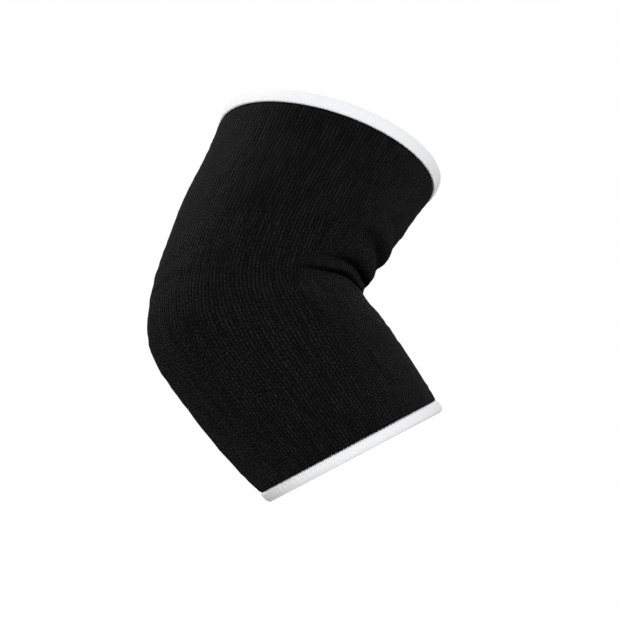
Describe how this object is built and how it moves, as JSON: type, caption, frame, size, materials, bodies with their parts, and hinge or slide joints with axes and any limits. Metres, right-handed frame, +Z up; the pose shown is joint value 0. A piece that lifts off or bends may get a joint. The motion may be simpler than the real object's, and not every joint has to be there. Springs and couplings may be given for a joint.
{
  "type": "elbow brace",
  "caption": "Knit compression sleeve for the elbow, bent as it is worn, with folds in the crook and a folded elastic binding round each mouth.",
  "frame": {"origin": "middle of the hollow at the elbow, where the arm holds the sleeve", "axes": "+X out of the crook of the elbow, +Z up towards the upper arm's mouth, the bend lying in the XZ plane, +Y across the sleeve"},
  "size_m": [0.144, 0.0956, 0.1869],
  "materials": {
    "black_knit": "matte ribbed knit",
    "white_binding": "matte woven elastic tape"
  },
  "bodies": {
    "root": {"knit_sleeve": "black_knit", "upper_binding": "white_binding", "lower_binding": "white_binding"}
  },
  "joints": []
}
